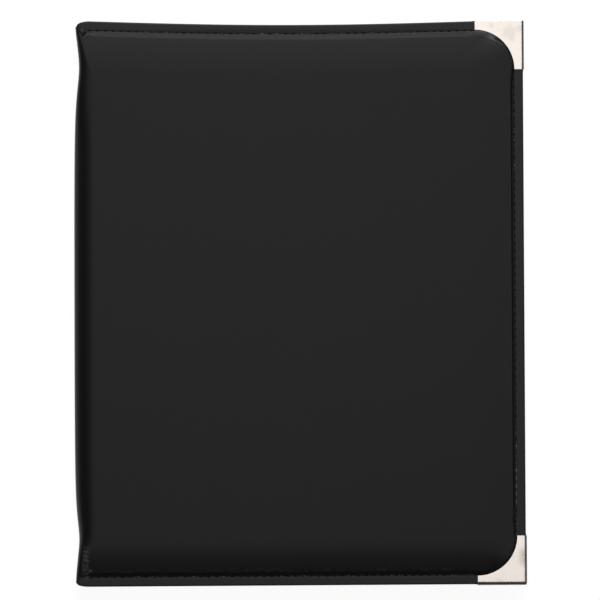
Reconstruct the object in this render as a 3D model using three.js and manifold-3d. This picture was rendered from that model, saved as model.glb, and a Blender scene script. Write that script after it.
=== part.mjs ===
// A padded leatherette folder for sheet music, lying closed on its back cover.
// Millimetres. +Z is up, +Y runs up the page, the spine is on the -X side and the covers open at +X.
import * as THREE from "three";
import { mergeVertices } from "three/addons/utils/BufferGeometryUtils.js";
import Module from "manifold-3d";

const wasm = await Module();
wasm.setup();

// Covers: plan size, measured over the leatherette
const coverHeight = 311;
const folderWidth = 247.5; // from the outermost of the spine to the opening edge
const edgeCorner = 1.5; // radius of the two free corners
const foldRound = 0.5; // how far the folded edge of the leatherette rounds over
const topSag = 2.1; // how far the top edges sag between the spine and the metal corner
const sagStart = 7.7; // where the sag begins, from the outermost of the spine

// Layers of each cover, from the outside in
const leatherette = 0.7;
const boardThickness = 1.6;
const liningThickness = 0.5;
const foamThickness = 2.2; // under the front cover's leatherette only
const layerGap = 0.1; // between one layer and the next
const musicRoom = 4.6; // between the two linings of the closed folder
const hem = 14; // leatherette turned in over the board's edges
const liningInset = 3;
const liningCorner = 2;

// Padding of the front cover
const border = 5.6; // flat stitched strip outside the padding
const padShoulder = 2.4; // width over which the padding's side rises
const padShoulderHeight = 1.7;
const padCrown = 14; // width over which the rest of the rise fades in

// Spine: one soft round roll of leatherette, drawn in near both ends
const spineDepth = 11; // from the outermost to where the covers are flat
const boardStart = 9.5; // spine-side edge of both boards, from the outermost
const foldPlace = 4.5; // where the covers fold off the spine, from the outermost
const foldGap = 0.3;
const spineCornerLength = 7; // rounding of the roll's ends, seen from above
const spineCornerTop = 2.9;
const spineCornerBottom = 1.7;
const drawnIn = [
  { depth: 3.0, halfWidth: 18, fromEnd: 25.3, end: 1 },
  { depth: 2.5, halfWidth: 15, fromEnd: 25.6, end: -1 },
];

// Metal corners: folded sheet, pressed flush into the leatherette of the faces
const cornerLeg = 27.3;
const cornerArm = 5.4; // width of each leg at its end
const cornerMetal = 0.45;
const cornerClearance = 0.15; // between a corner's side walls and the cover's edges
const cornerRound = 1.2;
const cornerSlit = 0.3;
const liningClearance = 0.3; // between a corner and the lining beside it

// Pockets: one sheet sewn along three sides inside each cover
const pocketHeight = 110;
const pocketInset = 6.2; // from the cover's edges
const pocketSheet = 0.7;
const pocketSeam = 3; // flat strip along the three sewn sides
const pocketEase = 0.8; // how far the sheet stands off the lining
const pocketRise = 8; // width over which it comes off

// Sizes that follow from the ones above
const halfHeight = coverHeight / 2;
const coverThickness = 3 * layerGap + 2 * leatherette + boardThickness + liningThickness;
const boardDepth = leatherette + layerGap; // from a cover's outer face to its board
const hemDepth = boardDepth + boardThickness + layerGap;
const padHeight = foamThickness + layerGap;
const folderThickness = 2 * coverThickness + musicRoom + padHeight;
const middle = folderThickness / 2;
const cornerProud = cornerClearance + cornerMetal;
const overallWidth = folderWidth + cornerProud;
const cornerCentreX = overallWidth - cornerLeg; // centre of each corner's inner arc
const cornerCentreY = halfHeight + cornerProud - cornerLeg;
const padCorner = cornerLeg - cornerProud - border; // the padding's corner runs round the same centre
const beyond = 10; // overrun of the shapes that only cut
const cutGap = 0.02; // keeps neighbouring rings of a loft apart where they share a side

// The outer face of each cover, and the way from it towards the music
const backCover = { face: 0, inward: 1 };
const frontCover = { face: folderThickness - padHeight, inward: -1 };

const leatherColour = new THREE.MeshStandardMaterial({ color: 0x29292b, roughness: 0.5, metalness: 0 });
const liningColour = new THREE.MeshStandardMaterial({ color: 0x202022, roughness: 0.7, metalness: 0 });
const pocketColour = new THREE.MeshStandardMaterial({ color: 0x262628, roughness: 0.55, metalness: 0 });
const boardColour = new THREE.MeshStandardMaterial({ color: 0x8c8377, roughness: 0.9, metalness: 0 });
const foamColour = new THREE.MeshStandardMaterial({ color: 0x5a5a5c, roughness: 0.95, metalness: 0 });
const nickelColour = new THREE.MeshStandardMaterial({ color: 0xe6ddd3, roughness: 0.35, metalness: 1 });

function solidOf(geometry) {
  const bare = geometry.clone();
  bare.deleteAttribute("normal");
  bare.deleteAttribute("uv");
  const merged = mergeVertices(bare);
  const vertProperties = Float32Array.from(merged.attributes.position.array);
  const triVerts = Uint32Array.from(merged.index.array);
  return new wasm.Manifold(new wasm.Mesh({ numProp: 3, vertProperties, triVerts }));
}

function geometryOf(solid) {
  const mesh = solid.getMesh();
  const geometry = new THREE.BufferGeometry();
  geometry.setAttribute("position", new THREE.BufferAttribute(Float32Array.from(mesh.vertProperties), 3));
  geometry.setIndex(new THREE.BufferAttribute(Uint32Array.from(mesh.triVerts), 1));
  geometry.computeVertexNormals();
  return geometry;
}

// Closed solid through rings of equal length, anticlockwise seen from above, from the lowest up
function loft(rings) {
  const count = rings[0].length;
  const positions = rings.flat().flatMap((point) => [point.x, point.y, point.z]);
  const index = [];
  for (let k = 0; k < rings.length - 1; k++) {
    for (let i = 0; i < count; i++) {
      const a = k * count + i;
      const b = k * count + ((i + 1) % count);
      index.push(a, b, b + count, a, b + count, a + count);
    }
  }
  const flat = (ring) => ring.map((point) => new THREE.Vector2(point.x, point.y));
  for (const [a, b, c] of THREE.ShapeUtils.triangulateShape(flat(rings[0]), [])) {
    index.push(c, b, a);
  }
  const top = (rings.length - 1) * count;
  for (const [a, b, c] of THREE.ShapeUtils.triangulateShape(flat(rings.at(-1)), [])) {
    index.push(top + a, top + b, top + c);
  }
  const geometry = new THREE.BufferGeometry();
  geometry.setAttribute("position", new THREE.Float32BufferAttribute(positions, 3));
  geometry.setIndex(index);
  return geometry;
}

function block(low, high) {
  const size = new THREE.Vector3().subVectors(high, low);
  const geometry = new THREE.BoxGeometry(size.x, size.y, size.z);
  geometry.translate((low.x + high.x) / 2, (low.y + high.y) / 2, (low.z + high.z) / 2);
  return solidOf(geometry);
}

function prism(shape, low, high, segments = 10) {
  const geometry = new THREE.ExtrudeGeometry(shape, {
    depth: high - low,
    bevelEnabled: false,
    curveSegments: segments,
  });
  geometry.translate(0, 0, low);
  return solidOf(geometry);
}

// How far the top edge sags at x, fading out below it
function sag(x, y) {
  const along = THREE.MathUtils.clamp((x - sagStart) / (cornerCentreX - sagStart), 0, 1);
  return topSag * Math.sin(Math.PI * along) * (Math.max(0, y) / halfHeight) ** 2;
}

// How far the roll of the spine is drawn in at y
function pinch(y) {
  let total = 0;
  for (const { depth, halfWidth, fromEnd, end } of drawnIn) {
    const away = (y - end * (halfHeight - fromEnd)) / halfWidth;
    total += depth / (1 + away * away);
  }
  return total;
}

// Plan of a cover at height z, anticlockwise from its lower spine-side corner
function outline({ inset = 0, left = boardStart, radius = edgeCorner, z, spineCorners = false, overrun = 0 }) {
  const arcSteps = 10;
  const edgeSteps = 14;
  const cornerSteps = 5;
  const right = folderWidth - inset;
  const top = halfHeight - inset + overrun;
  const points = [];
  const arc = (side, from, to) => {
    for (let i = 0; i <= arcSteps; i++) {
      const angle = THREE.MathUtils.lerp(from, to, i / arcSteps);
      const x = right - radius + radius * Math.cos(angle);
      points.push(new THREE.Vector2(x, side * (top - radius) + radius * Math.sin(angle)));
    }
  };
  // The round end of the spine's roll, then a straight run clear of it
  const spineEnd = (side, drop, first, last) => {
    const start = pinch(side * halfHeight);
    const run = new THREE.Vector2(left, side * (top - drop));
    if (side < 0) {
      points.push(run);
    }
    for (let i = first; i !== last; i += Math.sign(last - first)) {
      const angle = (i / cornerSteps) * (Math.PI / 2);
      const x = start + spineCornerLength * (1 - Math.cos(angle));
      points.push(new THREE.Vector2(x, side * (top - drop + drop * Math.sin(angle))));
    }
    if (side > 0) {
      points.push(run);
    }
  };
  if (spineCorners) {
    spineEnd(-1, spineCornerBottom, 0, cornerSteps + 1);
  } else {
    points.push(new THREE.Vector2(left, -top));
  }
  arc(-1, -Math.PI / 2, 0);
  arc(1, 0, Math.PI / 2);
  const edgeStart = right - radius;
  const edgeEnd = spineCorners ? pinch(halfHeight) + spineCornerLength : left;
  for (let i = 0; i <= edgeSteps; i++) {
    const x = THREE.MathUtils.lerp(cornerCentreX, sagStart, i / edgeSteps);
    if (x < edgeStart - cutGap && x > edgeEnd + cutGap) {
      points.push(new THREE.Vector2(x, top));
    }
  }
  if (spineCorners) {
    spineEnd(1, spineCornerTop, cornerSteps, -1);
  } else {
    points.push(new THREE.Vector2(left, top));
  }
  return points.map((point) => new THREE.Vector3(point.x, point.y - sag(point.x, point.y), z));
}

// Height in the folder of a depth measured from a cover's outer face
function level(cover, depth) {
  return cover.face + cover.inward * depth;
}

// Flat layer of a cover between two depths, with the plan that the options give
function layer(cover, from, to, options) {
  const heights = [level(cover, from), level(cover, to)].sort((a, b) => a - b);
  return solidOf(loft(heights.map((z) => outline({ ...options, z }))));
}

// Outer form of a cover's border: a slab with its edges folded round
function coverSlab(cover, options) {
  const fold = (depth, inset) => ({ z: level(cover, depth), inset });
  const thickness = hemDepth + leatherette;
  const rings = [
    fold(0, foldRound),
    fold(foldRound * 0.3, foldRound * 0.3),
    fold(foldRound, 0),
    fold(thickness - foldRound, 0),
    fold(thickness - foldRound * 0.3, foldRound * 0.3),
    fold(thickness, foldRound),
  ];
  rings.sort((a, b) => a.z - b.z);
  return solidOf(loft(rings.map((ring) => outline({ ...options, ...ring }))));
}

// Padding under a cloth of the given thickness: a steep rounded side, then a slow crown
function pad(under) {
  const sideSteps = 5;
  const crownSteps = 4;
  const steps = [];
  for (let i = 0; i <= sideSteps; i++) {
    const angle = (i / sideSteps) * (Math.PI / 2);
    steps.push({ away: padShoulder * (1 - Math.cos(angle)), side: padShoulderHeight * Math.sin(angle) });
  }
  for (let i = 1; i <= crownSteps; i++) {
    const away = THREE.MathUtils.lerp(padShoulder, padCrown, i / crownSteps);
    steps.push({ away, side: padShoulderHeight });
  }
  const foot = { away: 0, z: frontCover.face - hemDepth / 2 };
  const rise = steps.map(({ away, side }) => {
    const crown = (padHeight - padShoulderHeight) * Math.sin((Math.PI / 2) * (away / padCrown));
    return { away, z: frontCover.face + side + crown - under };
  });
  const rings = [foot, ...rise].map(({ away, z }, k) =>
    outline({ inset: border + under + away, radius: padCorner - under - away, left: cutGap * k - beyond, z }),
  );
  return solidOf(loft(rings));
}

// Everything inside the closed folder's roll, less a cloth of the given thickness
function roll(under) {
  const sideSteps = 16;
  const lengthSteps = 48;
  const length = coverHeight + 2 * beyond;
  const shape = new THREE.Shape();
  shape.moveTo(overallWidth + beyond, under);
  shape.lineTo(overallWidth + beyond, folderThickness - under);
  for (let i = 0; i <= sideSteps; i++) {
    const angle = Math.PI / 2 - (i / sideSteps) * Math.PI;
    const x = spineDepth - (spineDepth - under) * Math.cos(angle);
    shape.lineTo(x, middle + (middle - under) * Math.sin(angle));
  }
  shape.closePath();
  const geometry = new THREE.ExtrudeGeometry(shape, { depth: length, steps: lengthSteps, bevelEnabled: false });
  geometry.rotateX(Math.PI / 2);
  geometry.translate(0, length / 2, 0);
  const position = geometry.attributes.position;
  for (let i = 0; i < position.count; i++) {
    const bulge = 1 - ((position.getZ(i) - middle) / (middle - under)) ** 2;
    if (position.getX(i) <= spineDepth) {
      position.setX(i, position.getX(i) + pinch(position.getY(i)) * bulge);
    }
  }
  return solidOf(geometry);
}

function besideFold(side) {
  const place = foldPlace + (side * foldGap) / 2;
  const low = new THREE.Vector3(side > 0 ? place : -beyond, -coverHeight, -beyond);
  const high = new THREE.Vector3(side > 0 ? 2 * folderWidth : place, coverHeight, folderThickness + beyond);
  return block(low, high);
}

// Plan of a metal corner, grown by the given amount; end is 1 at the top and -1 at the bottom
function cornerPlan(end, grow = 0) {
  const x = overallWidth + grow;
  const y = halfHeight + cornerProud + grow;
  const inner = cornerLeg - cornerArm - grow;
  const centreX = cornerCentreX;
  const centreY = end * cornerCentreY;
  const turn = end * (Math.PI / 2);
  const shape = new THREE.Shape();
  shape.moveTo(centreX - grow, end * y);
  shape.lineTo(x - cornerRound, end * y);
  shape.absarc(x - cornerRound, end * (y - cornerRound), cornerRound, turn, 0, end > 0);
  shape.lineTo(x, end * (cornerCentreY - grow));
  shape.lineTo(centreX + inner, end * (cornerCentreY - grow));
  shape.absarc(centreX, centreY, inner, 0, turn, end < 0);
  shape.lineTo(centreX - grow, end * (cornerCentreY + inner));
  shape.closePath();
  return shape;
}

// The inside of a folded corner: the cover's edge with its clearance
function cornerInside(end) {
  const x = folderWidth + cornerClearance;
  const y = halfHeight + cornerClearance;
  const radius = cornerRound - cornerMetal;
  const shape = new THREE.Shape();
  shape.moveTo(cornerCentreX - beyond, end * y);
  shape.lineTo(x - radius, end * y);
  shape.absarc(x - radius, end * (y - radius), radius, end * (Math.PI / 2), 0, end > 0);
  shape.lineTo(x, end * (cornerCentreY - beyond));
  shape.lineTo(cornerCentreX - beyond, end * (cornerCentreY - beyond));
  shape.closePath();
  return shape;
}

// A slot along the mitre of a corner, from outside its tip inwards
function mitreSlot(end, length, width, low, high) {
  const geometry = new THREE.BoxGeometry(2 * length, width, high - low);
  geometry.rotateZ((end * Math.PI) / 4);
  geometry.translate(overallWidth, end * (halfHeight + cornerProud), (low + high) / 2);
  return solidOf(geometry);
}

function span(cover, from, to) {
  return [level(cover, from), level(cover, to)].sort((a, b) => a - b);
}

// Metal corner: outer plate, two side walls, and an inner plate in two flaps that meet at the mitre
function metalCorner(cover, end) {
  const body = prism(cornerPlan(end), ...span(cover, 0, coverThickness));
  const inside = prism(cornerInside(end), ...span(cover, cornerMetal, coverThickness - cornerMetal));
  const wallSlot = mitreSlot(end, cornerRound * 1.5, cornerSlit, ...span(cover, 2 * cornerMetal, beyond));
  const flapSlot = mitreSlot(end, cornerLeg, cornerSlit, ...span(cover, coverThickness - 2 * cornerMetal, beyond));
  return body.subtract(inside).subtract(wallSlot).subtract(flapSlot);
}

// Leatherette of one cover: over the face, round three edges and turned in over the board
function coverSkin(cover) {
  const run = { left: -beyond, spineCorners: true };
  let outside = coverSlab(cover, run);
  let inside = layer(cover, leatherette, hemDepth, { inset: leatherette, left: -beyond });
  if (cover === frontCover) {
    outside = outside.add(pad(0));
    inside = inside.add(pad(leatherette));
  }
  const depths = span(cover, leatherette, folderThickness);
  const low = new THREE.Vector3(-beyond, -coverHeight, depths[0]);
  const high = new THREE.Vector3(boardStart - layerGap, coverHeight, depths[1]);
  const hollow = inside.add(block(low, high)).intersect(roll(leatherette));
  const opening = layer(cover, hemDepth - layerGap, coverThickness, { inset: hem, left: -beyond });
  let skin = outside.intersect(roll(0)).subtract(hollow).subtract(opening).intersect(besideFold(1));
  for (const end of [1, -1]) {
    const press = span(cover, -beyond, cornerMetal + layerGap);
    skin = skin.subtract(prism(cornerPlan(end, layerGap), ...press));
  }
  return skin;
}

function coverBoard(cover) {
  return layer(cover, boardDepth, boardDepth + boardThickness, { inset: boardDepth });
}

function coverFoam() {
  const low = new THREE.Vector3(boardStart, -coverHeight, frontCover.face - leatherette);
  const high = new THREE.Vector3(folderWidth, coverHeight, folderThickness);
  const under = leatherette + layerGap;
  return pad(under).intersect(roll(under)).intersect(block(low, high));
}

function coverLining(cover) {
  const plan = { inset: liningInset, radius: liningCorner };
  let lining = layer(cover, coverThickness - liningThickness, coverThickness, plan);
  for (const end of [1, -1]) {
    const cut = span(cover, hemDepth, coverThickness + beyond);
    lining = lining.subtract(prism(cornerPlan(end, liningClearance), ...cut));
  }
  return lining;
}

// Pocket: a sheet sewn at its foot and both sides, easing off the lining towards its open mouth
function coverPocket(cover) {
  const left = boardStart + pocketInset;
  const right = folderWidth - pocketInset;
  const foot = pocketInset - halfHeight;
  const radius = padCorner + border - pocketInset;
  const centre = new THREE.Vector2(right - radius, foot + radius);
  const columns = 18;
  const arcRows = 8;
  const plainRows = 8;
  const width = right - left;
  const reach = pocketSeam + pocketRise;
  const ways = [];
  for (let i = 0; i <= columns; i++) {
    const third = columns / 3;
    const near = (i / third) * reach;
    const far = width - ((columns - i) / third) * reach;
    const between = THREE.MathUtils.lerp(reach, width - reach, (i - third) / third);
    ways.push((i < third ? near : i > 2 * third ? far : between) / width);
  }
  const rows = [];
  for (let i = 0; i <= arcRows; i++) {
    const angle = (i / arcRows) * (Math.PI / 2);
    rows.push({ y: centre.y - radius * Math.cos(angle), edge: centre.x + radius * Math.sin(angle) });
  }
  for (let i = 1; i <= plainRows; i++) {
    rows.push({ y: THREE.MathUtils.lerp(centre.y, foot + pocketHeight, i / plainRows), edge: right });
  }
  const ease = (x, y, edge) => {
    const round = x > centre.x && y < centre.y ? radius - Math.hypot(x - centre.x, y - centre.y) : edge - x;
    const inside = Math.min(x - left, y - foot, round) - pocketSeam;
    return pocketEase * THREE.MathUtils.smoothstep(inside, 0, pocketRise);
  };
  const bottom = [];
  const top = [];
  for (const { y, edge } of rows) {
    for (const way of ways) {
      const x = left + way * (edge - left);
      const depth = coverThickness + layerGap + ease(x, y, edge);
      const zs = span(cover, depth, depth + pocketSheet);
      bottom.push(new THREE.Vector3(x, y, zs[0]));
      top.push(new THREE.Vector3(x, y, zs[1]));
    }
  }
  return sheetBetween(bottom, top, columns + 1, rows.length);
}

// Closed sheet between a lower and an upper grid of points
function sheetBetween(bottom, top, across, rows) {
  const offset = bottom.length;
  const positions = [...bottom, ...top].flatMap((point) => [point.x, point.y, point.z]);
  const index = [];
  const quad = (a, b, c, d) => index.push(a, b, c, a, c, d);
  for (let j = 0; j < rows - 1; j++) {
    for (let i = 0; i < across - 1; i++) {
      const a = j * across + i;
      quad(offset + a, offset + a + 1, offset + a + across + 1, offset + a + across);
      quad(a, a + across, a + across + 1, a + 1);
    }
  }
  const last = (rows - 1) * across;
  for (let i = 0; i < across - 1; i++) {
    quad(i, i + 1, offset + i + 1, offset + i);
    quad(last + i + 1, last + i, offset + last + i, offset + last + i + 1);
  }
  for (let j = 0; j < rows - 1; j++) {
    const a = j * across;
    const b = a + across - 1;
    quad(a + across, a, offset + a, offset + a + across);
    quad(b, b + across, offset + b + across, offset + b);
  }
  const geometry = new THREE.BufferGeometry();
  geometry.setAttribute("position", new THREE.Float32BufferAttribute(positions, 3));
  geometry.setIndex(index);
  return solidOf(geometry);
}

// The closed folder at the spine, less a cloth of the given thickness, running out past both ends
function spineForm(under, plan) {
  const low = outline({ ...plan, z: -beyond });
  const high = outline({ ...plan, z: frontCover.face - under });
  return solidOf(loft([low, high])).add(pad(under)).intersect(roll(under));
}

function spineWrap() {
  const outside = spineForm(0, { left: -beyond, spineCorners: true });
  const inside = spineForm(leatherette, { left: -beyond, overrun: beyond });
  return outside.subtract(inside).intersect(besideFold(-1));
}

// Lining of the spine: a strip inside the roll, as long as the padding beside it
function spineLining() {
  const first = leatherette + layerGap;
  const sheet = roll(first).subtract(roll(first + liningThickness));
  const reach = halfHeight - border - padShoulder;
  const low = new THREE.Vector3(-beyond, -reach, -beyond);
  const high = new THREE.Vector3(folderWidth, reach, folderThickness + beyond);
  return sheet.intersect(besideFold(-1)).intersect(block(low, high));
}

function piece(name, solid, material) {
  const mesh = new THREE.Mesh(geometryOf(solid), material);
  mesh.name = name;
  return mesh;
}

function coverPieces(name, cover) {
  const pieces = [
    piece(`${name}_skin`, coverSkin(cover), leatherColour),
    piece(`${name}_board`, coverBoard(cover), boardColour),
    piece(`${name}_lining`, coverLining(cover), liningColour),
    piece(`${name}_pocket`, coverPocket(cover), pocketColour),
    piece(`${name}_corner_top`, metalCorner(cover, 1), nickelColour),
    piece(`${name}_corner_bottom`, metalCorner(cover, -1), nickelColour),
  ];
  if (cover === frontCover) {
    pieces.push(piece(`${name}_foam`, coverFoam(), foamColour));
  }
  return new THREE.Group().add(...pieces);
}

const folder = new THREE.Group();
folder.add(coverPieces("back", backCover));
folder.add(coverPieces("front", frontCover));
folder.add(new THREE.Group().add(
  piece("spine_wrap", spineWrap(), leatherColour),
  piece("spine_lining", spineLining(), liningColour),
));
folder.position.x = -overallWidth / 2;

export default folder;
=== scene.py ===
"""A padded leatherette folder for sheet music, lying closed on a pale floor, seen from above."""

import math

import bmesh
import bpy
import numpy as np
from mathutils import Euler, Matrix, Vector


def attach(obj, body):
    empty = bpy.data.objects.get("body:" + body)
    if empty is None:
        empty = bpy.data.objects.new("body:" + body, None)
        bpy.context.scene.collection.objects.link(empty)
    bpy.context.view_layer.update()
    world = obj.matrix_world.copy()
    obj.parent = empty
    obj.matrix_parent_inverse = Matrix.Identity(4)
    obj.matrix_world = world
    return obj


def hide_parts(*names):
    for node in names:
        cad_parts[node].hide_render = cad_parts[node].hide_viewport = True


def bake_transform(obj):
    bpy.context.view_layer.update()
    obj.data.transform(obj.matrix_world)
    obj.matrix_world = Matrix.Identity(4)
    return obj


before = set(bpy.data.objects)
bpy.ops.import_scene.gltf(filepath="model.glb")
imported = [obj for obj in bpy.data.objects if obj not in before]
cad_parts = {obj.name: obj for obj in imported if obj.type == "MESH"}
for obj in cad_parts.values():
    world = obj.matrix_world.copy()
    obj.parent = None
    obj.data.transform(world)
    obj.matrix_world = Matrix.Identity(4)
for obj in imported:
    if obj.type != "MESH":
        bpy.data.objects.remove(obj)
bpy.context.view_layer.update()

MM = 0.001


# Boards
# The stiffener of each cover is a 1.6 mm greyboard, cut square. It is glued inside the leatherette and
# reaches from beside the spine to the opening edge, so nothing of it shows.

class Socket:
    """A node's output. Sums on it add Math nodes."""

    def __init__(self, finish, output):
        self.finish = finish
        self.output = output

    def maths(self, operation, first, second):
        return self.finish.node("ShaderNodeMath", {"operation": operation}, {0: first, 1: second})

    def __add__(self, other):
        return self.maths("ADD", self, other)

    __radd__ = __add__

    def __sub__(self, other):
        return self.maths("SUBTRACT", self, other)

    def __rsub__(self, other):
        return self.maths("SUBTRACT", other, self)

    def __mul__(self, other):
        return self.maths("MULTIPLY", self, other)

    __rmul__ = __mul__


class Finish:
    """A procedural material in the making."""

    def __init__(self, name):
        self.material = bpy.data.materials.new(name)
        self.material.use_nodes = True
        self.tree = self.material.node_tree
        self.tree.nodes.clear()

    def node(self, kind, settings=None, sockets=None, output=0):
        node = self.tree.nodes.new(kind)
        for name, value in (settings or {}).items():
            if name == "stops":
                ramp = node.color_ramp.elements
                while len(ramp) < len(value):
                    ramp.new(0.5)
                for element, (place, colour) in zip(ramp, value):
                    element.position = place
                    element.color = (*colour, 1) if len(colour) == 3 else colour
            else:
                setattr(node, name, value)
        for name, value in (sockets or {}).items():
            if isinstance(value, Socket):
                self.tree.links.new(value.output, node.inputs[name])
            else:
                node.inputs[name].default_value = value
        return Socket(self, node.outputs[output]) if node.outputs else None

    def noise(self, where, scale, detail=2.0, roughness=0.5, distortion=0.0):
        sockets = {"Vector": where, "Scale": scale, "Detail": detail, "Roughness": roughness}
        return self.node("ShaderNodeTexNoise", None, {**sockets, "Distortion": distortion})

    def step(self, value, low, high, bottom=0.0, top=1.0):
        """A smooth step of the value from bottom at low to top at high."""
        sockets = {"Value": value, "From Min": low, "From Max": high, "To Min": bottom, "To Max": top}
        return self.node("ShaderNodeMapRange", {"interpolation_type": "SMOOTHSTEP"}, sockets)

    def mix(self, factor, first, second):
        sockets = {0: factor, 6: first, 7: second}
        return self.node("ShaderNodeMix", {"data_type": "RGBA"}, sockets, output=2)

    def stretched(self, where, scale):
        return self.node("ShaderNodeVectorMath", {"operation": "MULTIPLY"}, {0: where, 1: scale})

    def bump(self, height, distance, strength=1.0, normal=None):
        sockets = {"Height": height, "Distance": distance, "Strength": strength}
        if normal:
            sockets["Normal"] = normal
        return self.node("ShaderNodeBump", None, sockets)

    def surface(self, **sockets):
        """Ends the material in one shader; keywords are its sockets, with _ for a space."""
        named = {name.replace("_", " "): value for name, value in sockets.items()}
        shader = self.node("ShaderNodeBsdfPrincipled", None, named)
        self.node("ShaderNodeOutputMaterial", None, {"Surface": shader})
        return self.material


def dress(node, material):
    """Gives a CAD node a finish."""
    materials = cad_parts[node].data.materials
    materials.clear()
    materials.append(material)


greyboard = Finish("greyboard")
place = greyboard.node("ShaderNodeTexCoord", output=3)
fibres = greyboard.noise(greyboard.stretched(place, (400.0, 1600.0, 900.0)), 1.0, 5.0, 0.65)
flecks = greyboard.step(greyboard.noise(place, 1700.0, 1.0), 0.66, 0.74)
pulp = greyboard.mix(fibres, (0.20, 0.18, 0.145, 1), (0.33, 0.30, 0.25, 1))
greyboard_finish = greyboard.surface(
    Base_Color=greyboard.mix(flecks, pulp, (0.07, 0.06, 0.05, 1)),
    Roughness=0.92,
    Normal=greyboard.bump(fibres, 0.00006),
)
for board in ("back_board", "front_board"):
    dress(board, greyboard_finish)


# Foam
# A 2 mm sheet of soft polyether foam is glued on the front board, under the leatherette. It is pressed
# thin towards its free edges, and gives the front cover its padded panel: a short shoulder, then a low crown.

COVER_HEIGHT = 311.0
HALF = COVER_HEIGHT / 2
FOLDER_WIDTH = 247.5  # spine's drawn line to the leatherette's opening edge
OVERALL_WIDTH = 248.1  # with the metal corners
THICKNESS = 14.5
CLOTH = 0.7  # leatherette
CORNER_LEG = 26.7  # metal corner, along the folder's edges
SQUARE_BORDER = 4.4  # inset from which the lines of a corner are full arcs
SAG = 2.1  # of the upper edge
SAG_START = 7.7
PAD_HEIGHT = 2.3
PAD_FOOT = 5.7
CORNER_FOOT = 5.1
EDGE_FOOT = 6.3
SHOULDER = 0.35
UPPER_SHOULDER = 0.2
EDGE_SHOULDER = 2.05
RISE = 2.1  # width of the shoulder
UPPER_RISE = 3.4
EDGE_RISE = 1.15
CROWN = 25.0
LOWER_CROWN = 19.0
EDGE_TURN = (-12.0, 6.0)  # from the ends' profile to the opening edge's, by b - a
INTO_CORNER = (24.0, 30.0)
PAST_CORNER = (27.0, 38.0)
TOWARDS_END = 90.0
FOAM_INSET = 7.4
FOAM_START = 13.0
FOAM_GAP = 0.1
# Each run of mesh lines: its distance from the free edge, and the spacing from there on.
FOAM_COLUMNS = ((FOAM_INSET, 0.6), (12.0, 1.2), (24.0, 2.4), (FOLDER_WIDTH - FOAM_START, 1))
FOAM_ROWS = ((FOAM_INSET, 0.6), (12.0, 1.2), (45.0, 3.2), (HALF, 1))


def clamp(value, low=0.0, high=1.0):
    return np.clip(value, low, high)


def smooth(value, low, high):
    t = clamp((value - low) / (high - low))
    return t * t * (3 - 2 * t)


def sag(x, y):
    along = clamp((x - SAG_START) / (OVERALL_WIDTH - CORNER_LEG - SAG_START))
    return SAG * np.sin(math.pi * along) * (np.maximum(0, y) / HALF) ** 2


def metres(points):
    """Millimetres from the spine's outermost line to metres in the frame."""
    return (np.asarray(points, float) - (OVERALL_WIDTH / 2, 0, 0)) * MM


def stops(*runs):
    """Places from each run's start to the next one's, at that run's spacing."""
    places = []
    for (start, spacing), (end, _) in zip(runs, runs[1:]):
        count = max(1, round((end - start) / spacing))
        places.extend(start + (end - start) * i / count for i in range(count))
    return np.array(places + [runs[-1][0]])


def both_ends(insets):
    """Rows for both halves of the height, from their distances to the nearer end."""
    return np.concatenate([insets - HALF, (HALF - insets[:-1])[::-1]])


def mesh_object(name, points, faces, uv, material):
    """A mesh of quads and triangles, with a place on the flat sheet for every point."""
    mesh = bpy.data.meshes.new(name)
    mesh.from_pydata(metres(points).tolist(), [], [list(map(int, face)) for face in faces])
    layer = mesh.uv_layers.new(name="flat")
    corners = np.empty(len(mesh.loops), dtype=np.int64)
    mesh.loops.foreach_get("vertex_index", corners)
    layer.data.foreach_set("uv", (np.asarray(uv)[corners] / 100).ravel())
    mesh.materials.append(material)
    mesh.shade_smooth()
    piece = bpy.data.objects.new(name, mesh)
    bpy.context.scene.collection.objects.link(piece)
    return piece


def concentric(a, b, size, square, retreat=0.0):
    """Turns the lines of a corner into arcs; a and b are distances from the two free edges."""
    inset = np.minimum(a, b)
    along = (np.maximum(a, b) - inset) / np.maximum(size - inset, 1e-6)
    inset = inset + retreat
    reach = np.maximum(size - inset, 1e-6)
    angle = math.pi / 4 * (1 + clamp(along))
    major = size - reach * np.cos(angle)
    minor = size - reach * np.sin(angle)
    rounded = clamp(0.04 + 0.96 * inset / square)
    inside = (a < size) & (b < size)
    across = np.where(a >= b, major, minor)
    up = np.where(a >= b, minor, major)
    across = a + (across - a) * rounded
    up = b + (up - b) * rounded
    return np.where(inside, across, a + retreat * (a <= b)), np.where(inside, up, b + retreat * (b < a))


def grid_faces(rows, columns, flipped):
    index = np.arange(rows * columns).reshape(rows, columns)
    a, b, c, d = index[:-1, :-1], index[:-1, 1:], index[1:, 1:], index[1:, :-1]
    order = (d, c, b, a) if flipped else (a, b, c, d)
    return np.stack([corner.ravel() for corner in order], 1)


def pad_height(a, b, y0):
    """How far the padded panel stands above the border; a and b are distances from the free edges."""
    inset = np.minimum(a, b)
    beside_edge = smooth(b - a, *EDGE_TURN)
    upper = (1 - beside_edge) * smooth(y0, 0, TOWARDS_END)
    shoulder = SHOULDER + (EDGE_SHOULDER - SHOULDER) * beside_edge - (SHOULDER - UPPER_SHOULDER) * upper
    foot = CORNER_FOOT + (PAD_FOOT - CORNER_FOOT) * smooth(np.maximum(a, b), *INTO_CORNER)
    foot = foot + (EDGE_FOOT - PAD_FOOT) * (a < b) * smooth(b, *PAST_CORNER)
    crown = CROWN + (LOWER_CROWN - CROWN) * smooth(-y0, 0, TOWARDS_END) * (1 - beside_edge)
    rise = RISE + (EDGE_RISE - RISE) * beside_edge + (UPPER_RISE - RISE) * upper
    height = shoulder * smooth(inset, foot, foot + rise)
    return height + (PAD_HEIGHT - shoulder) * np.sin(math.pi / 2 * clamp((inset - foot) / crown))


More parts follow.
